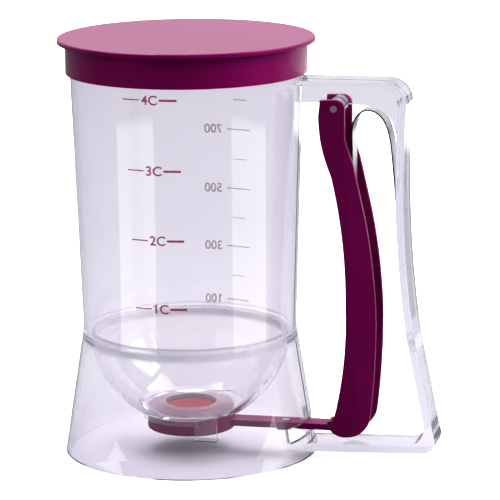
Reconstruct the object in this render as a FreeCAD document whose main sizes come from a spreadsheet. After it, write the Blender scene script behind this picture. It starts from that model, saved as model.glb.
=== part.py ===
import FreeCAD, Part
import os
import Sketcher

# A hand dispenser for batter: a clear container on a flared skirt, a round bowl with an outlet,
# a sliding valve under the outlet, and a squeezed lever in a clear handle that pulls the valve.
# Millimetres. The table is z = 0, +X points along the handle, and the shapes are drawn about the
# container's axis. Every piece is then set back by axis_back, so that the origin is the middle of
# the whole object's footprint.

doc = FreeCAD.newDocument("Dispenser")

DIMENSIONS = {
    # container
    "shell_low_r": 47.0, "shell_top_r": 51.15, "shell_low_z": 54.7, "shell_top_z": 181.5, "wall": 2.0,
    # bowl and outlet
    "bowl_r": 44.2, "bowl_z": 55.4, "bowl_wall": 2.0, "flange_r": 47.5, "flange_low_z": 52.9,
    "collar_r": 21.4, "collar_low_z": 14.5, "floor_z": 20.5, "floor_low_z": 18.2, "outlet_r": 11.4,
    "track_r": 19.9,
    # skirt
    "rim_r": 56.0, "knee_r": 54.9, "knee_z": 6.5, "seat_r": 44.5, "seat_low_z": 50.0,
    "slot_half": 22.0, "slot_low_z": 9.0, "slot_top_z": 15.2,
    # lid
    "lid_top_z": 184.3, "lid_edge_r": 56.2, "lid_edge": 1.9, "lid_skin": 2.3, "lid_skirt_r": 52.7,
    "lid_skirt_low_z": 169.0, "lid_wall": 1.15, "plug_r": 48.5, "plug_wall": 1.6, "plug_low_z": 175.0,
    "lid_round": 0.85,
    # handle
    "handle_half": 9.0, "handle_top_z": 167.2, "handle_skin": 2.1, "web_half": 1.4, "web_low_z": 156.6,
    "leg": 3.4, "leg_top_x": 98.4, "leg_waist_x": 97.3, "leg_low_x": 102.1, "leg_foot_x": 110.6,
    "bar_thick": 3.6, "bar_near_z": 2.4, "bar_far_z": 4.0, "reach": 111.0,
    # lever
    "pivot_x": 67.0, "pivot_z": 155.4, "pin_r": 1.45, "pin_play": 0.05, "boss_r": 3.9, "boss_half": 7.4,
    "lever_half": 10.0, "channel_half": 7.6, "face": 2.2,
    # spring
    "strip": 0.7, "strip_half": 5.0,
    # valve
    "cup_r": 19.5, "cup_low_z": 9.3, "cup_top_z": 14.2, "cup_hollow_r": 17.7, "cup_web_low_z": 13.0,
    "cup_round": 1.1, "disc_r": 19.4, "disc_top_z": 17.5, "seal_r": 13.1, "seal_seat_z": 15.9,
    "seal_top_z": 18.0,
    "arm_half": 4.75, "arm_low_z": 11.35, "arm_top_z": 14.1,
    "lap_near_x": 39.6, "lap_far_x": 46.0, "lap_low_z": 10.6, "lap_mid_z": 12.35,
    "link_pin_x": 74.0, "link_pin_z": 17.5, "link_pin_r": 1.5, "link_play": 0.25, "link_rise": 2.0,
    "eye_r": 3.3, "link_slot_half": 9.0, "stem_pin_r": 1.6,
    # guides beside the cup
    "guide_near_x": 6.5, "guide_far_x": 16.5, "guide_in_y": 19.8, "guide_out_y": 21.3, "guide_top_z": 19.0,
    "guide_low_z": 7.9, "guide_lip": 2.2, "guide_lip_top_z": 9.0,
}

sheet = doc.addObject("Spreadsheet::Sheet", "Dims")
for row, (alias, number) in enumerate(DIMENSIONS.items(), start=1):
    sheet.set(f"A{row}", alias)
    sheet.set(f"B{row}", str(number))
    sheet.setAlias(f"B{row}", alias)
row = len(DIMENSIONS) + 1
sheet.set(f"A{row}", "axis_back")
sheet.set(f"B{row}", "=(reach - lid_edge_r) / 2")
sheet.setAlias(f"B{row}", "axis_back")
doc.recompute()

pieces = []


def dim(formula):
    """The number that a formula of sheet aliases gives."""
    value = sheet.evalExpression(bound(formula))
    return float(value.Value) if hasattr(value, "Value") else float(value)


def replace_word(formula, word):
    """Put the sheet's name before one alias, wherever it stands as a whole word."""
    out = ""
    token = ""
    for c in formula + " ":
        if c.isalnum() or c in "_.":
            token += c
            continue
        out += "Dims." + token if token == word else token
        out += c
        token = ""
    return out[:-1]


def bound(formula):
    """A formula of aliases written so that any object of the document can follow it."""
    words = "".join(c if c.isalnum() or c == "_" else " " for c in formula).split()
    for word in {w for w in words if w in DIMENSIONS or w == "axis_back"}:
        formula = replace_word(formula, word)
    return formula


def finish_piece(obj, label):
    """Name a piece and set it back from the container's axis to the origin."""
    obj.Label = label
    obj.setExpression("Placement.Base.x", bound("-axis_back"))
    pieces.append(obj)
    return obj


def primitive(kind, name, sizes, z="0", x="0", y="0"):
    """A Part primitive whose sizes and place follow formulas."""
    obj = doc.addObject("Part::" + kind, name)
    for prop, formula in sizes.items():
        obj.setExpression(prop, bound(formula))
    obj.setExpression("Placement.Base.x", bound(x))
    obj.setExpression("Placement.Base.y", bound(y))
    obj.setExpression("Placement.Base.z", bound(z))
    return obj


def block(name, x0, x1, y0, y1, z0, z1):
    """A box between formulas for its low and high sides."""
    sizes = {"Length": f"({x1}) - ({x0})", "Width": f"({y1}) - ({y0})", "Height": f"({z1}) - ({z0})"}
    return primitive("Box", name, sizes, x=x0, y=y0, z=z0)


def round_bar(name, r, z0, z1):
    """An upright cylinder about the container's axis."""
    return primitive("Cylinder", name, {"Radius": r, "Height": f"({z1}) - ({z0})"}, z=z0)


def taper(name, r0, r1, z0, z1):
    """An upright cone between two heights."""
    return primitive("Cone", name, {"Radius1": r0, "Radius2": r1, "Height": f"({z1}) - ({z0})"}, z=z0)


def joined(name, parts):
    """One solid from several."""
    obj = doc.addObject("Part::MultiFuse", name)
    obj.Shapes = parts
    obj.Refine = True
    return obj


def cut(name, base, tool):
    """A base with a tool taken out of it."""
    obj = doc.addObject("Part::Cut", name)
    obj.Base = base
    obj.Tool = tool
    return obj


def new_body(name):
    return doc.addObject("PartDesign::Body", name)


def new_sketch(body, name):
    """An empty sketch on the body's own XZ plane."""
    sketch = body.newObject("Sketcher::SketchObject", name)
    support = next(f for f in body.Origin.OriginFeatures if f.Role == "XZ_Plane")
    sketch.AttachmentSupport = [(support, "")]
    sketch.MapMode = "FlatFace"
    return sketch


def spot(x, z):
    """A sketch point from two formulas."""
    return FreeCAD.Vector(dim(x), dim(z), 0)


def draw(body, name, outline):
    """A closed sketch on the handle's plane.

    outline lists corners as pairs of formulas; a corner of the form ("arc", x, z) is a point that
    the curve from the corner before it to the corner after it passes through.
    """
    sketch = new_sketch(body, name)
    for i, corner in enumerate(outline):
        if corner[0] == "arc":
            continue
        after = outline[(i + 1) % len(outline)]
        next_corner = outline[(i + 2) % len(outline)] if after[0] == "arc" else after
        start = spot(corner[0], corner[1])
        end = spot(next_corner[0], next_corner[1])
        if after[0] == "arc":
            through = spot(after[1], after[2])
            arc = Part.Arc(start, through, end)
            number = sketch.addGeometry(arc)
            clockwise = (through - start).cross(end - through).z < 0
            ends = (2, 1) if clockwise else (1, 2)
            sketch.addConstraint(Sketcher.Constraint("Radius", number, arc.toShape().Curve.Radius))
        else:
            number = sketch.addGeometry(Part.LineSegment(start, end))
            ends = (1, 2)
        fix_point(sketch, number, ends[0], corner)
        fix_point(sketch, number, ends[1], next_corner)
    return sketch


def fix_point(sketch, number, end, corner):
    """Hold one end of an edge at a pair of formulas."""
    for kind, formula in (("DistanceX", corner[0]), ("DistanceY", corner[1])):
        place = sketch.addConstraint(Sketcher.Constraint(kind, -1, 1, number, end, dim(formula)))
        if any(c.isalpha() for c in formula):
            sketch.setExpression(f"Constraints[{place}]", bound(formula))


def draw_disc(body, name, x, z, r):
    """A circle drawn on the handle's plane."""
    sketch = new_sketch(body, name)
    number = sketch.addGeometry(Part.Circle(spot(x, z), FreeCAD.Vector(0, 0, 1), dim(r)))
    fix_point(sketch, number, 3, (x, z))
    place = sketch.addConstraint(Sketcher.Constraint("Radius", number, dim(r)))
    sketch.setExpression(f"Constraints[{place}]", bound(r))
    return sketch


def pad(body, name, sketch, half):
    """Raise a sketch to the same width on both sides of the handle's plane."""
    feature = body.newObject("PartDesign::Pad", name)
    feature.Profile = sketch
    feature.Midplane = True
    feature.setExpression("Length", bound(f"2 * {half}"))
    return feature


def pocket(body, name, sketch, half):
    """Cut a sketch to the same depth on both sides of the handle's plane."""
    before = body_volume(body)
    feature = body.newObject("PartDesign::Pocket", name)
    feature.Profile = sketch
    feature.Midplane = True
    feature.setExpression("Length", bound(f"2 * {half}"))
    if body_volume(body) >= before:
        raise ValueError(name + " cuts nothing")
    return feature


def body_volume(body):
    doc.recompute()
    return body.Shape.Volume


# Container: a clear tapered wall, open at both ends.
shell_outer = taper("ShellOuter", "shell_low_r", "shell_top_r", "shell_low_z", "shell_top_z")
shell_inner = taper("ShellInner", "shell_low_r - wall", "shell_top_r - wall", "shell_low_z", "shell_top_z")
finish_piece(cut("ContainerShell", shell_outer, shell_inner), "container_shell")

# Bowl: a half ball with a flange between container and skirt, and a flat floor round the outlet.
# Under the floor a collar makes a track, closed at the front and open towards the handle.
bowl_ball = primitive("Sphere", "BowlBall", {
    "Radius": "bowl_r",
    "Angle1": "-asin((bowl_z - collar_low_z) / bowl_r)",
    "Angle2": "-asin((bowl_z - shell_low_z) / bowl_r)",
}, z="bowl_z")
bowl_flange = round_bar("BowlFlange", "flange_r", "flange_low_z", "shell_low_z")
bowl_collar = round_bar("BowlCollar", "collar_r", "collar_low_z", "floor_z")
bowl_outer = joined("BowlOuter", [bowl_ball, bowl_flange, bowl_collar])
bowl_space = primitive("Sphere", "BowlSpace", {
    "Radius": "bowl_r - bowl_wall",
    "Angle1": "-asin((bowl_z - floor_z) / (bowl_r - bowl_wall))",
    "Angle2": "0",
}, z="bowl_z")
bowl_outlet = round_bar("BowlOutlet", "outlet_r", "collar_low_z", "floor_z + 1")
track_low = "collar_low_z - 1"
track_round = round_bar("TrackRound", "track_r", track_low, "floor_low_z")
track_way = block("TrackWay", "0", "collar_r + 6", "-track_r", "track_r", track_low, "floor_low_z")
bowl_inner = joined("BowlInner", [bowl_space, bowl_outlet, track_round, track_way])
finish_piece(cut("FunnelBowl", bowl_outer, bowl_inner), "funnel_bowl")

# Skirt: a flared wall with an inner seat under the flange, a steeper rim and a wide slot for the valve.
skirt_outer = joined("SkirtOuter", [
    taper("SkirtFlare", "knee_r", "flange_r", "knee_z", "flange_low_z"),
    taper("SkirtRim", "rim_r", "knee_r", "0", "knee_z"),
])
seat_ring = cut(
    "SeatRing",
    round_bar("SeatBlock", "rim_r", "seat_low_z", "flange_low_z"),
    round_bar("SeatMouth", "seat_r", "seat_low_z", "flange_low_z"),
)
skirt_space = joined("SkirtSpace", [
    taper("FlareSpace", "knee_r - wall", "flange_r - wall", "knee_z", "flange_low_z"),
    taper("RimSpace", "rim_r - wall", "knee_r - wall", "0", "knee_z"),
])
skirt_inner = cut("SkirtInner", skirt_space, seat_ring)
slot_out = "rim_r + 5"
skirt_slot = block("SkirtSlot", "rim_r / 2", slot_out, "-slot_half", "slot_half", "slot_low_z", "slot_top_z")
skirt_wall = cut("SkirtWall", skirt_outer, skirt_inner)
finish_piece(cut("BaseSkirt", skirt_wall, skirt_slot), "base_skirt")

# Lid: a flat cap with an overhanging edge, a skirt outside the container and a plug ring inside it.
lid = new_body("LidBody")
lid_sketch = draw(lid, "LidSketch", [
    ("0", "lid_top_z"),
    ("lid_edge_r - lid_round", "lid_top_z"),
    ("arc", "lid_edge_r - lid_round * 0.293", "lid_top_z - lid_round * 0.293"),
    ("lid_edge_r", "lid_top_z - lid_round"),
    ("lid_edge_r", "lid_top_z - lid_edge"),
    ("lid_skirt_r", "lid_top_z - lid_edge"),
    ("lid_skirt_r", "lid_skirt_low_z"),
    ("lid_skirt_r - lid_wall", "lid_skirt_low_z"),
    ("lid_skirt_r - lid_wall", "lid_top_z - lid_skin"),
    ("plug_r", "lid_top_z - lid_skin"),
    ("plug_r", "plug_low_z"),
    ("plug_r - plug_wall", "plug_low_z"),
    ("plug_r - plug_wall", "lid_top_z - lid_skin"),
    ("0", "lid_top_z - lid_skin"),
])
lid_turn = lid.newObject("PartDesign::Revolution", "LidTurn")
lid_turn.Profile = lid_sketch
lid_turn.ReferenceAxis = (lid_sketch, ["V_Axis"])
lid_turn.Angle = 360
finish_piece(lid, "lid_cap")

# Handle: a clear strip bent round the hand, with a web in its top corner and a boss for the pivot pin.
STRIP_START = "shell_low_r - 4"
LEG_WAIST_Z = "116"
LEG_LOW_Z = "55"
handle = new_body("HandleBody")
pad(handle, "HandleStrip", draw(handle, "HandleStripOutline", [
    (STRIP_START, "handle_top_z"),
    ("leg_top_x - 9.8", "handle_top_z"),
    ("arc", "leg_top_x - 2.87", "handle_top_z - 2.87"),
    ("leg_top_x", "handle_top_z - 9.8"),
    ("arc", "leg_waist_x", LEG_WAIST_Z),
    ("leg_low_x", LEG_LOW_Z),
    ("leg_foot_x", "11.8"),
    ("arc", "reach - 1.0", "6.0"),
    ("leg_foot_x - 5", "bar_far_z"),
    (STRIP_START, "bar_near_z - 0.1"),
    (STRIP_START, "bar_near_z + bar_thick - 0.1"),
    ("leg_foot_x - 11.6", "bar_far_z + bar_thick - 0.3"),
    ("arc", "leg_foot_x - 6.5", "bar_far_z + bar_thick + 2.2"),
    ("leg_foot_x - leg - 1.2", "17.4"),
    ("leg_low_x - leg", LEG_LOW_Z),
    ("arc", "leg_waist_x - leg", LEG_WAIST_Z),
    ("leg_top_x - leg - 0.1", "handle_top_z - 10.5"),
    ("arc", "leg_top_x - leg - 2.4", "handle_top_z - handle_skin - 2.9"),
    ("leg_top_x - leg - 7.5", "handle_top_z - handle_skin"),
    (STRIP_START, "handle_top_z - handle_skin"),
]), "handle_half")
pad(handle, "HandleWeb", draw(handle, "HandleWebOutline", [
    (STRIP_START, "web_low_z"),
    (STRIP_START, "handle_top_z - handle_skin / 2"),
    ("leg_top_x - leg - 6.5", "handle_top_z - handle_skin / 2"),
    ("leg_top_x - leg / 2", "handle_top_z - 10.5"),
    ("leg_waist_x - leg / 2", "119"),
    ("leg_waist_x - leg - 0.3", "119"),
    ("92.3", "138.5"),
    ("arc", "89.6", "151.2"),
    ("82.3", "155.7"),
    ("pivot_x + boss_r", "web_low_z"),
]), "web_half")
pad(handle, "PivotBoss", draw_disc(handle, "PivotBossDisc", "pivot_x", "pivot_z", "boss_r"), "boss_half")
pivot_bore = draw_disc(handle, "PivotBoreDisc", "pivot_x", "pivot_z", "pin_r")
pocket(handle, "PivotBore", pivot_bore, "(boss_half + 1)")
doc.recompute()
outer_form = joined("OuterForm", [
    taper("FormShell", "shell_low_r", "shell_top_r", "shell_low_z", "shell_top_z"),
    taper("FormFlare", "knee_r", "flange_r", "knee_z", "flange_low_z"),
    taper("FormRim", "rim_r", "knee_r", "0", "knee_z"),
])
finish_piece(cut("HandleFrame", handle, outer_form), "handle_frame")

# Lever: a channel with a closed face towards the container and open towards the handle's leg.
LEFT = [
    ("60.2", "152"),
    ("arc", "61.5", "139.3"),
    ("65.7", "126"),
    ("arc", "71.0", "93.1"),
    ("71.9", "68"),
    ("arc", "70.6", "40"),
    ("66.6", "18.4"),
]
RIGHT = [
    ("82.6", "19.2"),
    ("arc", "84.7", "42"),
    ("85.3", "61.2"),
    ("arc", "83.3", "90.2"),
    ("78.5", "117"),
    ("75.2", "131.7"),
    ("71.7", "142.2"),
    ("71.7", "154.6"),
    ("arc", "70.6", "158.2"),
    ("67.9", "159.3"),
]


def shifted(corners, step):
    """The same outline moved along X."""
    moved = []
    for corner in corners:
        if corner[0] == "arc":
            moved.append(("arc", f"{corner[1]} + {step}", corner[2]))
        else:
            moved.append((f"{corner[0]} + {step}", corner[1]))
    return moved


lever = new_body("LeverBody")
pad(lever, "LeverBlock", draw(lever, "LeverBlockOutline", [
    ("61.0", "159.1"),
    *LEFT,
    ("64.7", "12.8"),
    ("arc", "68.0", "10.5"),
    ("72.9", "10.0"),
    ("arc", "79.6", "13.0"),
    *RIGHT,
]), "lever_half")
pocket(lever, "LeverChannel", draw(lever, "LeverChannelOutline", [
    ("50", "170"),
    ("50", "pivot_z + 0.5"),
    ("60.4 + face", "pivot_z + 0.5"),
    *shifted(LEFT, "face"),
    ("64.7 + face", "5"),
    ("95", "5"),
    ("95", "170"),
]), "channel_half")
lever_bore = draw_disc(lever, "LeverBoreDisc", "pivot_x", "pivot_z", "(pin_r + pin_play)")
pocket(lever, "LeverBore", lever_bore, "(lever_half + 1)")
pocket(lever, "ArmWindow", draw(lever, "ArmWindowOutline", [
    ("60", "arm_top_z + 0.8"),
    ("60", "5"),
    ("70", "5"),
    ("70", "arm_top_z + 0.8"),
]), "(arm_half + 0.6)")
pocket(lever, "LinkSlot", draw(lever, "LinkSlotOutline", [
    ("link_pin_x - link_pin_r - link_play", "link_pin_z"),
    ("arc", "link_pin_x", "link_pin_z + 0.96 * (link_pin_r + link_play)"),
    ("link_pin_x + link_pin_r + link_play", "link_pin_z"),
    ("link_pin_x + link_pin_r + link_play + 0.1", "link_pin_z - link_rise"),
    ("arc", "link_pin_x + 0.1", "link_pin_z - link_rise - 0.96 * (link_pin_r + link_play)"),
    ("link_pin_x - link_pin_r - link_play + 0.1", "link_pin_z - link_rise"),
]), "link_slot_half")
finish_piece(lever, "trigger_lever")

def cross_pin(name, label, x, z, r, half):
    """A pin lying across the handle's plane."""
    pin = primitive("Cylinder", name, {"Radius": r, "Height": f"2 * {half}"})
    pin.Placement = FreeCAD.Placement(FreeCAD.Vector(0, 0, 0), FreeCAD.Rotation(FreeCAD.Vector(1, 0, 0), 90))
    finish_piece(pin, label)
    pin.setExpression("Placement.Base.x", bound(f"{x} - axis_back"))
    pin.setExpression("Placement.Base.y", bound(half))
    pin.setExpression("Placement.Base.z", bound(z))


# Pivot pin: pressed in the boss, running in the lever's ears.
cross_pin("PivotPin", "pivot_pin", "pivot_x", "pivot_z", "pin_r", "(lever_half - 0.1)")

# Spring: a flat steel strip bent to an upside-down U, one leg on the handle, one in the lever.
SPRING_CROWN = [
    (92.9, 125.5), (91.9, 136.3), (90.6, 144.6), (87.9, 151.0), (84.6, 154.0),
    (81.1, 154.9), (78.3, 154.1), (75.9, 152.0), (74.3, 148.6),
]
SPRING_IN_LEVER = [(73.75, 140.0), (73.8, 120.0), (74.05, 92.5)]
SPRING_ON_LEG_Z = (62.4, 72.0, 81.0, 90.0, 98.0, 106.0, 113.0)
LEG_GAP = 0.15


def point(x, z):
    return FreeCAD.Vector(x, 0, z)


leg_curve = Part.Arc(
    point(dim("leg_top_x - leg - 0.1"), dim("handle_top_z - 10.5")),
    point(dim("leg_waist_x - leg"), float(LEG_WAIST_Z)),
    point(dim("leg_low_x - leg"), float(LEG_LOW_Z)),
).toShape().Curve


def on_leg(z):
    """A point just off the leg's inner face."""
    r = leg_curve.Radius + LEG_GAP
    return point(leg_curve.Center.x - (r ** 2 - (z - leg_curve.Center.z) ** 2) ** 0.5, z)


def strip_side(points):
    """A smooth line through points."""
    line = Part.BSplineCurve()
    line.interpolate(points)
    return line


back_points = [on_leg(z) for z in SPRING_ON_LEG_Z]
back_points += [point(x, z) for x, z in SPRING_CROWN + SPRING_IN_LEVER]
back = strip_side(back_points)
front_points = []
for place in back_points:
    along = back.tangent(back.parameter(place))[0]
    front_points.append(place + FreeCAD.Vector(-along.z, 0, along.x) * dim("strip"))
front = strip_side(front_points)
strip_edge = Part.Wire([
    back.toShape(),
    Part.LineSegment(back_points[-1], front_points[-1]).toShape(),
    front.toShape(),
    Part.LineSegment(front_points[0], back_points[0]).toShape(),
])
half_strip = dim("strip_half")
strip_face = Part.Face(strip_edge)
strip_face.translate(FreeCAD.Vector(0, -half_strip, 0))
spring = doc.addObject("Part::Feature", "ReturnSpring")
spring.Shape = strip_face.extrude(FreeCAD.Vector(0, 2 * half_strip, 0))
finish_piece(spring, "return_spring")

# Valve cup: a shallow cup under the collar, a raised disc inside the track and a flat stem.
cup_solid = round_bar("CupSolid", "cup_r", "cup_low_z", "cup_top_z")
doc.recompute()
cup_round = doc.addObject("Part::Fillet", "CupRound")
cup_round.Base = cup_solid
low_edge = next(
    n for n, e in enumerate(cup_solid.Shape.Edges, start=1)
    if abs(e.BoundBox.ZMax - dim("cup_low_z")) < 0.01
)
cup_round.Edges = [(low_edge, dim("cup_round"), dim("cup_round"))]
stem = block("Stem", "cup_r - 3", "lap_near_x", "-arm_half", "arm_half", "arm_low_z", "arm_top_z")
stem_lap = block("StemLap", "lap_near_x", "lap_far_x", "-arm_half", "arm_half", "lap_mid_z", "arm_top_z")
cup_disc = round_bar("CupDisc", "disc_r", "cup_top_z - 1", "disc_top_z")
cup_body = joined("CupBody", [cup_round, cup_disc, stem, stem_lap])
cup_space = joined("CupSpace", [
    round_bar("CupHollow", "cup_hollow_r", "cup_low_z - 1", "cup_web_low_z"),
    round_bar("SealSeat", "seal_r", "seal_seat_z", "disc_top_z + 1"),
    primitive(
        "Cylinder", "StemHole", {"Radius": "stem_pin_r", "Height": "10"},
        x="(lap_near_x + lap_far_x) / 2", z="lap_low_z - 1",
    ),
])
finish_piece(cut("ValveCup", cup_body, cup_space), "valve_cup")
finish_piece(round_bar("ValveSeal", "seal_r", "seal_seat_z", "seal_top_z"), "valve_seal")

# Drive link: from the stem's lap, out through the skirt's slot, to an eye inside the lever.
link = new_body("LinkBody")
pad(link, "LinkBar", draw(link, "LinkBarOutline", [
    ("lap_near_x + 0.1", "lap_low_z"),
    ("lap_near_x + 0.1", "lap_mid_z"),
    ("lap_far_x + 0.1", "lap_mid_z"),
    ("lap_far_x + 0.1", "arm_top_z"),
    ("62.4", "arm_top_z"),
    ("62.8", "arm_top_z + 1.2"),
    ("64.0", "arm_top_z + 1.2"),
    ("64.4", "arm_top_z"),
    ("link_pin_x - eye_r", "arm_top_z"),
    ("link_pin_x - eye_r", "link_pin_z"),
    ("arc", "link_pin_x", "link_pin_z + 0.96 * eye_r"),
    ("link_pin_x + eye_r", "link_pin_z"),
    ("link_pin_x + eye_r", "arm_low_z + 0.4"),
    ("link_pin_x + eye_r - 0.4", "arm_low_z"),
    ("lap_far_x + 1", "arm_low_z"),
    ("lap_far_x + 0.2", "lap_low_z"),
]), "arm_half")
eye_bore = draw_disc(link, "EyeBoreDisc", "link_pin_x", "link_pin_z", "link_pin_r")
pocket(link, "EyeBore", eye_bore, "(arm_half + 1)")
doc.recompute()
link_hole = primitive(
    "Cylinder", "LinkHole", {"Radius": "stem_pin_r", "Height": "lap_mid_z + 1 - lap_low_z + 1"},
    x="(lap_near_x + lap_far_x) / 2", z="lap_low_z - 1",
)
finish_piece(cut("DriveLink", link, link_hole), "drive_link")

# Stem pin: joins the valve's stem and the link at their lap.
stem_pin = round_bar("StemPin", "stem_pin_r", "lap_low_z", "arm_top_z + 0.25")
finish_piece(stem_pin, "stem_pin")
stem_pin.setExpression("Placement.Base.x", bound("(lap_near_x + lap_far_x) / 2 - axis_back"))

# Link pin: rides in the blind slots inside the lever's cheeks.
cross_pin("LinkPin", "link_pin", "link_pin_x", "link_pin_z", "link_pin_r", "(link_slot_half - 0.2)")

# Guides: two clear L-shaped hooks under the bowl, one each side, that hold the cup up.
guide_parts = []
for name, low, high, lip_low, lip_high in (
    ("Rear", "guide_in_y", "guide_out_y", "guide_in_y - guide_lip", "guide_out_y"),
    ("Front", "-guide_out_y", "-guide_in_y", "-guide_out_y", "-guide_in_y + guide_lip"),
):
    near, far = "guide_near_x", "guide_far_x"
    guide_parts.append(joined(name + "Hook", [
        block(name + "Plate", near, far, low, high, "guide_low_z", "guide_top_z"),
        block(name + "Lip", near, far, lip_low, lip_high, "guide_low_z", "guide_lip_top_z"),
    ]))
guide_pair = joined("GuidePair", guide_parts)
finish_piece(cut("GuideHooks", guide_pair, bowl_outer), "guide_hooks")

doc.recompute()

for obj in doc.Objects:
    if "Invalid" in obj.State or "Error" in obj.State:
        raise ValueError(f"{obj.Name} failed: {obj.State}")
os.makedirs("parts", exist_ok=True)
for piece in pieces:
    shape = piece.Shape
    if shape.isNull() or not shape.isValid():
        raise ValueError(piece.Label + " is not a valid shape")
    shape.exportStep(f"parts/{piece.Label}.step")
    print(piece.Label, len(shape.Solids), "solids", round(shape.Volume, 1), "mm3")
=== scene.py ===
import math

import bmesh
import bpy
from mathutils import Matrix, Vector


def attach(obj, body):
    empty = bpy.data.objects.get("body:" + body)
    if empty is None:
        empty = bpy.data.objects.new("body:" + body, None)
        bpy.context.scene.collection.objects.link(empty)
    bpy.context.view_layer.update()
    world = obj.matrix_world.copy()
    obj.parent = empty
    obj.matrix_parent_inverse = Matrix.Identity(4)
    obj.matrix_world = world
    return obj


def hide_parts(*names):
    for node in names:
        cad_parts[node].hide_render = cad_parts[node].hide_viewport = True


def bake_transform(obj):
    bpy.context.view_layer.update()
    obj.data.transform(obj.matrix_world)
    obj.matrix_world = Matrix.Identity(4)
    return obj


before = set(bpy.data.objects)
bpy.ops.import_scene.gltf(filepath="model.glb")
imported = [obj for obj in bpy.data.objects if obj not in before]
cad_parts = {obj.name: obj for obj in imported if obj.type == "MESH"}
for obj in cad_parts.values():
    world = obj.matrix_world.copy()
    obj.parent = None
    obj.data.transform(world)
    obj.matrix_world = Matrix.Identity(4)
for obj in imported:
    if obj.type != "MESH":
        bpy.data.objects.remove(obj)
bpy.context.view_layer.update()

# The container's axis in the shared frame, in metres, and its outer wall's two rims.
AXIS_X = -0.0274
SHELL_LOW_Z, SHELL_TOP_Z = 0.0547, 0.1815
SHELL_LOW_R, SHELL_TOP_R = 0.0470, 0.05115
INK_RISE = 0.00009

# The clear plastic's milky share, away from the joint with the skirt and at it, and the joint's reach.
JOINT_Z = 0.0525
HAZE = 0.02
JOINT_HAZE = 0.26
JOINT_FADE = (0.0022, 0.0036)

# How far round the container's axis the camera stands, in degrees from straight in front.
CAMERA_TURN = 14.0


def wall_r(z):
    """The container's outer radius at a height."""
    return SHELL_LOW_R + (SHELL_TOP_R - SHELL_LOW_R) * (z - SHELL_LOW_Z) / (SHELL_TOP_Z - SHELL_LOW_Z)


# Node helpers.


class Nodes:
    """Adds and joins the nodes of one tree."""

    def __init__(self, tree):
        self.tree = tree
        tree.nodes.clear()

    def add(self, kind, links=None, values=None, **settings):
        node = self.tree.nodes.new(kind)
        for name, value in settings.items():
            setattr(node, name, value)
        for key, value in (values or {}).items():
            node.inputs[key].default_value = value
        for key, source in (links or {}).items():
            self.tree.links.new(source, node.inputs[key])
        return node

    def math(self, operation, a, b):
        node = self.tree.nodes.new("ShaderNodeMath")
        node.operation = operation
        for i, term in enumerate((a, b)):
            if isinstance(term, (int, float)):
                node.inputs[i].default_value = term
            else:
                self.tree.links.new(term, node.inputs[i])
        return node.outputs[0]

    def noise(self, place, scale, detail=3.0, roughness=0.5):
        node = self.add(
            "ShaderNodeTexNoise",
            links={"Vector": place},
            values={"Scale": scale, "Detail": detail, "Roughness": roughness},
        )
        return node.outputs["Fac"]

    def ranged(self, source, low, high, from_low=0.3, from_high=0.7):
        node = self.add(
            "ShaderNodeMapRange",
            links={"Value": source},
            values={"From Min": from_low, "From Max": from_high, "To Min": low, "To Max": high},
        )
        return node.outputs["Result"]

    def stretched(self, place, scale):
        node = self.add("ShaderNodeMapping", links={"Vector": place}, values={"Scale": scale})
        return node.outputs["Vector"]

    def blend(self, factor, a, b):
        """Two colours mixed by a factor; each colour is three numbers or another node's output."""
        node = self.add("ShaderNodeMix", data_type="RGBA", links={"Factor": factor})
        for socket, colour in ((node.inputs[6], a), (node.inputs[7], b)):
            if isinstance(colour, tuple):
                socket.default_value = (*colour, 1.0)
            else:
                self.tree.links.new(colour, socket)
        return node.outputs[2]

    def bump(self, height, strength, distance, normal=None):
        links = {"Height": height}
        if normal is not None:
            links["Normal"] = normal
        node = self.add("ShaderNodeBump", links=links, values={"Strength": strength, "Distance": distance})
        return node.outputs["Normal"]


def darker(colour, share):
    return tuple(c * share for c in colour)


def new_material(name):
    material = bpy.data.materials.new(name)
    material.use_nodes = True
    n = Nodes(material.node_tree)
    place = n.add("ShaderNodeTexCoord").outputs["Object"]
    output = n.add("ShaderNodeOutputMaterial")
    return material, n, place, output


# Materials.


def clear_plastic(name, tint, density, wave):
    """Moulded clear plastic: faint waves, fine scuffs, a milky joint and a tint that deepens with length."""
    material, n, place, output = new_material(name)
    flow = n.noise(n.stretched(place, (1.0, 1.0, 0.35)), 26.0, 2.0)
    scuffs = n.noise(n.stretched(place, (1.0, 1.0, 0.2)), 900.0, 4.0, 0.6)
    roughness = n.ranged(scuffs, 0.012, 0.035, 0.45, 0.75)
    normal = n.bump(flow, wave, 0.0012)
    glass = n.add(
        "ShaderNodeBsdfPrincipled",
        links={"Roughness": roughness, "Normal": normal},
        values={"Base Color": (1.0, 1.0, 1.0, 1.0), "IOR": 1.5, "Transmission Weight": 1.0},
    )
    height = n.add("ShaderNodeSeparateXYZ", links={0: place}).outputs["Z"]
    from_joint = n.math("ABSOLUTE", n.math("SUBTRACT", height, JOINT_Z), 0.0)
    band = n.ranged(from_joint, JOINT_HAZE, HAZE, *JOINT_FADE)
    cloud = n.math("MULTIPLY", band, n.ranged(flow, 0.75, 1.25))
    milk = n.add("ShaderNodeBsdfDiffuse", values={"Color": (0.86, 0.83, 0.92, 1.0)})
    body = n.add("ShaderNodeMixShader", links={0: cloud, 1: glass.outputs[0], 2: milk.outputs[0]})
    through = n.add("ShaderNodeBsdfTransparent", values={"Color": (0.97, 0.965, 0.98, 1.0)})
    path = n.add("ShaderNodeLightPath")
    lit = n.math("MAXIMUM", path.outputs["Is Shadow Ray"], path.outputs["Is Diffuse Ray"])
    mixed = n.add("ShaderNodeMixShader", links={0: lit, 1: body.outputs[0], 2: through.outputs[0]})
    depth = n.add("ShaderNodeVolumeAbsorption", values={"Color": (*tint, 1.0), "Density": density})
    n.tree.links.new(mixed.outputs[0], output.inputs["Surface"])
    n.tree.links.new(depth.outputs[0], output.inputs["Volume"])
    return material


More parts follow.
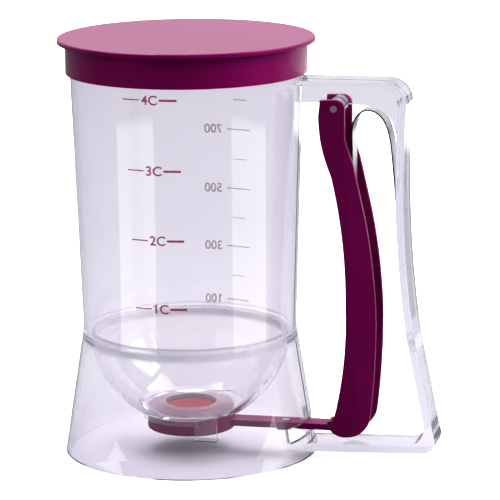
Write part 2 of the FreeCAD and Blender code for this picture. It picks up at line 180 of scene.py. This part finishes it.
def wine_plastic(name, colour, shade, rough):
    """Opaque wine plastic with a satin skin: slow colour drift and a fine moulded grain."""
    material, n, place, output = new_material(name)
    drift = n.noise(place, 35.0, 3.0)
    tone = n.blend(n.ranged(drift, 0.0, 1.0), colour, darker(colour, shade))
    grain = n.noise(place, 2600.0, 2.0, 0.6)
    dull = n.noise(place, 420.0, 4.0, 0.6)
    surface = n.add(
        "ShaderNodeBsdfPrincipled",
        links={
            "Base Color": tone,
            "Roughness": n.ranged(dull, rough - 0.01, rough + 0.015),
            "Normal": n.bump(grain, 0.015, 0.00005),
        },
        values={"IOR": 1.32, "Specular Tint": (1.0, 0.12, 0.6, 1.0)},
    )
    n.tree.links.new(surface.outputs[0], output.inputs["Surface"])
    return material


def silicone(name, colour):
    """Soft red sealing pad: matt, with a dusty drift."""
    material, n, place, output = new_material(name)
    drift = n.noise(place, 160.0, 4.0, 0.6)
    tone = n.blend(n.ranged(drift, 0.0, 1.0), colour, darker(colour, 0.8))
    surface = n.add(
        "ShaderNodeBsdfPrincipled",
        links={
            "Base Color": tone,
            "Roughness": n.ranged(drift, 0.42, 0.55),
            "Normal": n.bump(n.noise(place, 1500.0, 2.0), 0.15, 0.0001),
        },
        values={"IOR": 1.42},
    )
    n.tree.links.new(surface.outputs[0], output.inputs["Surface"])
    return material


def steel(name, colour, painted_side_tone, stretch, rough):
    """Brushed steel: scratches drawn out along the strip, and painted light on the faces that look sideways:
    a second colour that stands in for the shade and reflections those faces catch.
    """
    material, n, place, output = new_material(name)
    # Painted light: faces that look along Y take the painted side tone instead of the steel's own colour.
    facing = n.add("ShaderNodeSeparateXYZ", links={0: n.add("ShaderNodeNewGeometry").outputs["Normal"]})
    painted_side_share = n.math("ABSOLUTE", facing.outputs["Y"], 0.0)
    tone = n.blend(n.ranged(painted_side_share, 0.0, 1.0, 0.7, 0.85), colour, painted_side_tone)
    lines = n.noise(n.stretched(place, stretch), 60.0, 5.0, 0.65)
    surface = n.add(
        "ShaderNodeBsdfPrincipled",
        links={
            "Base Color": tone,
            "Roughness": n.ranged(lines, rough - 0.07, rough + 0.08),
            "Normal": n.bump(lines, 0.25, 0.00008),
        },
        values={"Metallic": 1.0},
    )
    n.tree.links.new(surface.outputs[0], output.inputs["Surface"])
    return material


def ink(name, colour, fade):
    """Printed ink, slightly broken up so that the plastic shows between the grains."""
    material, n, place, output = new_material(name)
    grain = n.noise(place, 2200.0, 3.0, 0.6)
    surface = n.add(
        "ShaderNodeBsdfPrincipled",
        links={"Roughness": n.ranged(grain, 0.3, 0.5)},
        values={"Base Color": (*colour, 1.0)},
    )
    gap = n.add("ShaderNodeBsdfTransparent")
    cover = n.ranged(grain, fade, 1.0, 0.35, 0.6)
    mixed = n.add("ShaderNodeMixShader", links={0: cover, 1: gap.outputs[0], 2: surface.outputs[0]})
    n.tree.links.new(mixed.outputs[0], output.inputs["Surface"])
    return material


LAVENDER = (0.42, 0.28, 0.68)
WINE = (0.20, 0.0012, 0.082)
SEAL_RED = (0.33, 0.003, 0.012)
ALONG_STRIP = (40.0, 1.0, 1.0)
EVEN = (1.0, 1.0, 1.0)
looks = {
    "container_shell": clear_plastic("shell_plastic", LAVENDER, 15.0, 0.10),
    "funnel_bowl": clear_plastic("bowl_plastic", LAVENDER, 5.0, 0.14),
    "base_skirt": clear_plastic("skirt_plastic", LAVENDER, 11.0, 0.12),
    "handle_frame": clear_plastic("handle_plastic", LAVENDER, 8.0, 0.16),
    "guide_hooks": clear_plastic("hook_plastic", LAVENDER, 8.0, 0.10),
    "lid_cap": wine_plastic("lid_plastic", WINE, 0.9, 0.26),
    "trigger_lever": wine_plastic("lever_plastic", WINE, 0.84, 0.4),
    "valve_cup": wine_plastic("cup_plastic", WINE, 0.86, 0.5),
    "drive_link": wine_plastic("link_plastic", WINE, 0.86, 0.5),
    "valve_seal": silicone("seal_rubber", SEAL_RED),
    # Steel's second colour, painted on faces that look along Y: painted shade, near black, on the spring; a
    # painted reflection on the pins, pink on the pivot pin.
    "return_spring": steel("spring_steel", (0.5, 0.5, 0.52), (0.03, 0.03, 0.03), ALONG_STRIP, 0.3),
    "pivot_pin": steel("pivot_steel", (0.6, 0.5, 0.55), (0.66, 0.42, 0.54), EVEN, 0.32),
    "stem_pin": steel("stem_pin_steel", (0.55, 0.5, 0.53), (0.6, 0.55, 0.58), EVEN, 0.32),
    "link_pin": steel("link_pin_steel", (0.6, 0.58, 0.6), (0.62, 0.6, 0.62), EVEN, 0.32),
}


def dress(obj, material):
    """Give every slot of an object one material."""
    if not obj.material_slots:
        obj.data.materials.append(material)
    for place in obj.material_slots:
        place.material = material


for node, material in looks.items():
    dress(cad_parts[node], material)


def add_object(name, data):
    obj = bpy.data.objects.new(name, data)
    bpy.context.scene.collection.objects.link(obj)
    return obj


def stand_for(obj, node):
    """Show an object in a CAD node's place, with that node's look."""
    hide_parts(node)
    dress(obj, looks[node])


# Pieces shown in place of their CAD nodes.
LEVER_EDGE = 0.0008


def rounded_lever():
    """The lever with its sharp edges rounded."""
    node = "trigger_lever"
    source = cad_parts[node]
    mesh = source.data.copy()
    mesh.name = node + "_soft"
    work = bmesh.new()
    work.from_mesh(mesh)
    work.transform(source.matrix_world)
    bmesh.ops.remove_doubles(work, verts=work.verts, dist=0.00002)
    bmesh.ops.dissolve_limit(work, angle_limit=math.radians(1.0), verts=work.verts, edges=work.edges)
    work.to_mesh(mesh)
    work.free()
    lever = add_object(node + "_soft", mesh)
    rounding = lever.modifiers.new("rounding", "BEVEL")
    rounding.width = LEVER_EDGE
    rounding.segments = 3
    rounding.limit_method = "ANGLE"
    rounding.angle_limit = math.radians(38.0)
    rounding.harden_normals = True
    rounding.use_clamp_overlap = True
    for face in mesh.polygons:
        face.use_smooth = True
    stand_for(lever, node)
    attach(lever, "lever")


def bending_strip():
    """The steel strip: a copy of its CAD mesh, shown in the node's place with its look and its placement
    baked into the mesh.
    """
    node = "return_spring"
    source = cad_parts[node]
    strip = add_object(node + "_strip", source.data.copy())
    strip.matrix_world = source.matrix_world
    stand_for(strip, node)
    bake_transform(strip)


rounded_lever()
bending_strip()

# Printed scales: cups on the front of the container, millilitres on the back, read from outside.
CUP_INK = ink("cup_ink", (0.55, 0.004, 0.12), 0.85)
MILLILITRE_INK = ink("millilitre_ink", (0.45, 0.08, 0.2), 0.4)
TEXT_HEIGHT = 0.0042
STROKE_SWELL = 0.018

# The slanting stroke of a figure one, from the figure's top left corner, in sizes of the font.
FLAG = ((-0.15, -0.26), (-0.15, -0.17), (0.02, 0.0), (0.02, -0.12))


def on_wall(azimuth, z):
    """A point just outside the container's wall."""
    r = wall_r(z) + INK_RISE
    return Vector((AXIS_X + r * math.cos(azimuth), r * math.sin(azimuth), z))


def add_print(name, mesh, material):
    obj = add_object(name, mesh)
    mesh.materials.append(material)
    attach(obj, "frame")


def tick(name, start, end, z, height, material):
    """A thin curved bar between two azimuths in degrees."""
    steps = 10
    rows = []
    for i in range(steps + 1):
        azimuth = math.radians(start + (end - start) * i / steps)
        rows.append((on_wall(azimuth, z - height / 2), on_wall(azimuth, z + height / 2)))
    verts = [v for pair in rows for v in pair]
    faces = [(2 * i, 2 * i + 2, 2 * i + 3, 2 * i + 1) for i in range(steps)]
    mesh = bpy.data.meshes.new(name)
    mesh.from_pydata(verts, [], faces)
    add_print(name, mesh, material)


def add_flag(mesh):
    """The short slanting stroke of a figure one that opens a line of text."""
    left = min(v.co.x for v in mesh.vertices)
    top = max(v.co.y for v in mesh.vertices)
    work = bmesh.new()
    work.from_mesh(mesh)
    work.faces.new([work.verts.new((left + x, top + y, 0)) for x, y in FLAG])
    work.to_mesh(mesh)
    work.free()


def flat_text(name, text):
    """A line of text as a flat mesh."""
    curve = bpy.data.curves.new(name, "FONT")
    curve.body = text
    curve.size = 1.0
    curve.resolution_u = 6
    curve.offset = STROKE_SWELL
    flat = add_object(name + "_flat", curve)
    shape = flat.evaluated_get(bpy.context.evaluated_depsgraph_get())
    mesh = bpy.data.meshes.new_from_object(shape)
    bpy.data.objects.remove(flat)
    if text.startswith("1"):
        add_flag(mesh)
    return mesh


def label(name, text, start, end, z, material):
    """Characters laid round the wall between two azimuths in degrees."""
    mesh = flat_text(name, text)
    xs = [v.co.x for v in mesh.vertices]
    ys = [v.co.y for v in mesh.vertices]
    x0, x1, y0, y1 = min(xs), max(xs), min(ys), max(ys)
    for v in mesh.vertices:
        azimuth = math.radians(start + (end - start) * (v.co.x - x0) / (x1 - x0))
        v.co = on_wall(azimuth, z + TEXT_HEIGHT * ((v.co.y - y0) / (y1 - y0) - 0.5))
    add_print(name, mesh, material)


# Each cup mark: its text, height and the azimuth of its left end. The parts follow it by these degrees.
CUPS = [
    ("4C", 0.1640, -108.3),
    ("3C", 0.1336, -106.8),
    ("2C", 0.1033, -105.8),
    ("1C", 0.0733, -104.9),
]
LEFT_TICK_END = 8.8
TEXT_START, TEXT_END = 9.8, 17.9
RIGHT_TICK_START, RIGHT_TICK_END = 18.8, 27.4
LEFT_TICK_HEIGHT, RIGHT_TICK_HEIGHT = 0.00055, 0.0010
for text, z, start in CUPS:
    tick("tick_left_" + text, start, start + LEFT_TICK_END, z, LEFT_TICK_HEIGHT, CUP_INK)
    label("cups_" + text, text, start + TEXT_START, start + TEXT_END, z, CUP_INK)
    right_start, right_end = start + RIGHT_TICK_START, start + RIGHT_TICK_END
    tick("tick_right_" + text, right_start, right_end, z, RIGHT_TICK_HEIGHT, CUP_INK)

# Millilitre marks: azimuths in degrees of the text, the long ticks and the short ticks between them.
MILLILITRES = [("700", 0.1353), ("500", 0.1083), ("300", 0.0818), ("100", 0.0571)]
BETWEEN_Z = (0.1488, 0.1217, 0.0949, 0.0682)
NUMBER_SPAN = (85.1, 94.9)
LONG_SPAN, LONG_TICK_HEIGHT = (67.9, 82.2), 0.0005
SHORT_SPAN, SHORT_TICK_HEIGHT = (70.8, 78.8), 0.0004
for text, z in MILLILITRES:
    label("millilitres_" + text, text, *NUMBER_SPAN, z, MILLILITRE_INK)
    tick("tick_" + text, *LONG_SPAN, z, LONG_TICK_HEIGHT, MILLILITRE_INK)
for number, z in enumerate(BETWEEN_Z):
    tick(f"tick_between_{number}", *SHORT_SPAN, z, SHORT_TICK_HEIGHT, MILLILITRE_INK)

# Floor paper: its colour where it is seen through the clear plastic, with painted light: a pool painted
# brighter straight under the object and near it, fading to the plain colour far off; its colour for other
# rays; and the glow that brings it to white for the camera.
FLOOR_HALF = 30.0
FLOOR_DROP = 0.0002
WHITE = (1.0, 1.0, 1.0)
PAPER_UNDER_PAINTED_LIGHT = (0.56, 0.535, 0.60)
PAPER_NEAR_PAINTED_LIGHT = (0.45, 0.43, 0.48)
PAPER_FAR = (0.345, 0.333, 0.375)
PAPER_OTHER = (0.12, 0.12, 0.13)
PAPER_GLOW = 0.3
PAINTED_LIGHT_UNDER_FADE = (0.045, 0.075)
PAINTED_LIGHT_NEAR_FADE = (0.06, 0.50)

# Painted reflections: bright patches painted into the floor's glow that only mirrored rays see. They paint
# the light bands on the container and the lid's bright right side: two bearings in degrees from the camera,
# two distances from the container's axis and a strength, where 1 is white, so these mirror as lamps do.
PAINTED_REFLECTION_CARDS = [
    (-73.0, -33.0, 0.10, 0.71, 3.3),
    (43.0, 83.0, 0.10, 0.71, 3.0),
    (112.0, 165.0, 0.75, 1.2, 1.8),
]
PAINTED_REFLECTION_SIDE_FADE = 1.0
PAINTED_REFLECTION_END_FADE = 0.02


def painted_reflection_card(n, bearing, reach, low, high, near, far, strength):
    """The strength of one painted reflection patch at a point of the floor."""
    low += CAMERA_TURN
    high += CAMERA_TURN
    from_low = n.ranged(bearing, 0.0, strength, low - PAINTED_REFLECTION_SIDE_FADE, low + PAINTED_REFLECTION_SIDE_FADE)
    to_high = n.ranged(bearing, 1.0, 0.0, high - PAINTED_REFLECTION_SIDE_FADE, high + PAINTED_REFLECTION_SIDE_FADE)
    from_near = n.ranged(reach, 0.0, 1.0, near - PAINTED_REFLECTION_END_FADE, near + PAINTED_REFLECTION_END_FADE)
    to_far = n.ranged(reach, 1.0, 0.0, far - PAINTED_REFLECTION_END_FADE, far + PAINTED_REFLECTION_END_FADE)
    return n.math("MULTIPLY", n.math("MULTIPLY", from_low, to_high), n.math("MULTIPLY", from_near, to_far))


def floor_paper():
    material, n, place, output = new_material("floor_paper")
    path = n.add("ShaderNodeLightPath")
    seen = path.outputs["Is Camera Ray"]
    spot = n.add("ShaderNodeSeparateXYZ", links={0: place})
    across = n.math("SUBTRACT", spot.outputs["X"], AXIS_X)
    towards = n.math("MULTIPLY", spot.outputs["Y"], -1.0)
    reach_squared = n.math("ADD", n.math("MULTIPLY", across, across), n.math("MULTIPLY", towards, towards))
    bearing = n.math("MULTIPLY", n.math("ARCTAN2", across, towards), math.degrees(1.0))
    reach = n.math("SQRT", reach_squared, 0.0)
    # Painted light: the floor seen through the plastic is painted brighter under and near the object, where
    # it lies in the object's shade.
    painted_light_falloff = n.blend(n.ranged(reach, 0.0, 1.0, *PAINTED_LIGHT_NEAR_FADE), PAPER_NEAR_PAINTED_LIGHT, PAPER_FAR)
    painted_light_pool = n.blend(n.ranged(reach, 0.0, 1.0, *PAINTED_LIGHT_UNDER_FADE), PAPER_UNDER_PAINTED_LIGHT, painted_light_falloff)
    tone = n.blend(path.outputs["Is Transmission Ray"], PAPER_OTHER, painted_light_pool)
    painted_reflections = 0.0
    for card in PAINTED_REFLECTION_CARDS:
        painted_reflections = n.math("ADD", painted_reflections, painted_reflection_card(n, bearing, reach, *card))
    # Painted reflections: the floor glows in these patches only for mirrored rays.
    mirrored = n.math("SUBTRACT", path.outputs["Is Glossy Ray"], path.outputs["Is Transmission Ray"])
    painted_shine = n.math("MULTIPLY", n.math("MAXIMUM", mirrored, 0.0), painted_reflections)
    paper = n.add(
        "ShaderNodeBsdfPrincipled",
        links={
            "Base Color": n.blend(seen, tone, WHITE),
            "Emission Strength": n.math("ADD", n.math("MULTIPLY", seen, PAPER_GLOW), painted_shine),
        },
        values={"Roughness": 0.6, "Specular IOR Level": 0.2, "Emission Color": (*WHITE, 1.0)},
    )
    n.tree.links.new(paper.outputs[0], output.inputs["Surface"])
    return material


floor_mesh = bpy.data.meshes.new("floor")
floor_corners = [(x * FLOOR_HALF, y * FLOOR_HALF, 0) for x, y in ((-1, -1), (1, -1), (1, 1), (-1, 1))]
floor_mesh.from_pydata(floor_corners, [], [(0, 1, 2, 3)])
floor = add_object("floor", floor_mesh)
floor.location.z = -FLOOR_DROP
floor_mesh.materials.append(floor_paper())

# Surroundings: each kind of ray sees one colour on the camera's side and another behind the object.
DIFFUSE_ROOM = ((0.14, 0.13, 0.15), (1.0, 0.98, 1.03))
MIRRORED_ROOM = ((0.03, 0.03, 0.035), (0.86, 0.83, 0.88))
ROOM_THROUGH_PLASTIC = ((0.6, 0.57, 0.68), (0.84, 0.82, 0.92))
ROOF = (0.6, 0.6, 0.63)
BEHIND_FADE = (-0.35, 0.45)
ROOF_FADE = (0.15, 0.9)


def studio_world():
    world = bpy.data.worlds.new("studio")
    world.use_nodes = True
    n = Nodes(world.node_tree)
    direction = n.add("ShaderNodeTexCoord").outputs["Generated"]
    parts = n.add("ShaderNodeSeparateXYZ", links={0: direction})
    behind = n.ranged(parts.outputs["Y"], 0.0, 1.0, *BEHIND_FADE)
    high = n.ranged(parts.outputs["Z"], 0.0, 1.0, *ROOF_FADE)
    path = n.add("ShaderNodeLightPath")
    room = n.blend(behind, *DIFFUSE_ROOM)
    room = n.blend(path.outputs["Is Glossy Ray"], room, n.blend(behind, *MIRRORED_ROOM))
    room = n.blend(path.outputs["Is Transmission Ray"], room, n.blend(behind, *ROOM_THROUGH_PLASTIC))
    roofed = n.blend(high, room, ROOF)
    sky = n.blend(path.outputs["Is Camera Ray"], roofed, WHITE)
    backdrop = n.add("ShaderNodeBackground", links={"Color": sky}, values={"Strength": 1.0})
    n.add("ShaderNodeOutputWorld", links={"Surface": backdrop.outputs[0]})
    return world


bpy.context.scene.world = studio_world()

# Camera: its place and turn about the container's axis were worked out from the photo's ellipses.
CAMERA_BACK = 1.30263
CAMERA_UP = 0.369356
CAMERA_PAN = 0.0206
CAMERA_PITCH = 0.2121
CAMERA_ROLL = -0.0103
CAMERA_LENS = 217.66


def add_camera():
    turn = Matrix.Rotation(math.radians(CAMERA_TURN), 3, "Z")
    forward = Vector((
        math.sin(CAMERA_PAN) * math.cos(CAMERA_PITCH),
        math.cos(CAMERA_PAN) * math.cos(CAMERA_PITCH),
        -math.sin(CAMERA_PITCH),
    ))
    level = Vector((math.cos(CAMERA_PAN), -math.sin(CAMERA_PAN), 0))
    upright = level.cross(forward)
    right = math.cos(CAMERA_ROLL) * level + math.sin(CAMERA_ROLL) * upright
    up = -math.sin(CAMERA_ROLL) * level + math.cos(CAMERA_ROLL) * upright
    data = bpy.data.cameras.new("camera")
    data.lens = CAMERA_LENS
    data.sensor_width = 36.0
    data.clip_start = 0.05
    data.clip_end = 200.0
    camera = add_object("camera", data)
    axes = Matrix((turn @ right, turn @ up, turn @ -forward)).transposed().to_4x4()
    stand = turn @ Vector((0, -CAMERA_BACK, CAMERA_UP)) + Vector((AXIS_X, 0, 0))
    camera.matrix_world = Matrix.Translation(stand) @ axes
    bpy.context.scene.camera = camera


add_camera()

# Lamps: one large panel overhead behind the object and an upright soft box on each side.
PANEL_SIZE = 1.6
PANEL_POWER = 44.0
PANEL_PLACE = (AXIS_X, 0.9, 1.4)
BOX_DISTANCE = 0.9
BOX_LOW, BOX_HIGH = 0.35, 1.3
BOX_WIDTH = 0.85


def area_light(name, width, height, power):
    light = bpy.data.lights.new(name, "AREA")
    light.shape = "RECTANGLE"
    light.size = width
    light.size_y = height
    light.energy = power
    return add_object(name, light)


def soft_box(name, azimuth, power):
    """An upright soft box facing the container's axis; azimuth 0 is the camera's side, in degrees."""
    box = area_light(name, BOX_WIDTH, BOX_HIGH - BOX_LOW, power)
    a = math.radians(azimuth + CAMERA_TURN)
    middle = (BOX_LOW + BOX_HIGH) / 2
    spot = Vector((AXIS_X + BOX_DISTANCE * math.sin(a), -BOX_DISTANCE * math.cos(a), middle))
    box.location = spot
    box.rotation_euler = (Vector((AXIS_X, 0, middle)) - spot).to_track_quat("-Z", "Y").to_euler()
    return box


overhead = area_light("overhead", PANEL_SIZE, PANEL_SIZE, PANEL_POWER)
overhead.location = PANEL_PLACE
soft_box("box_left", -60.0, 2.0)
soft_box("box_right", 78.0, 16.0)

scene = bpy.context.scene
scene.view_settings.view_transform = "Standard"
scene.cycles.max_bounces = 24
scene.cycles.transmission_bounces = 20
scene.cycles.transparent_max_bounces = 24
scene.cycles.glossy_bounces = 8
scene.cycles.diffuse_bounces = 3
scene.cycles.volume_bounces = 0
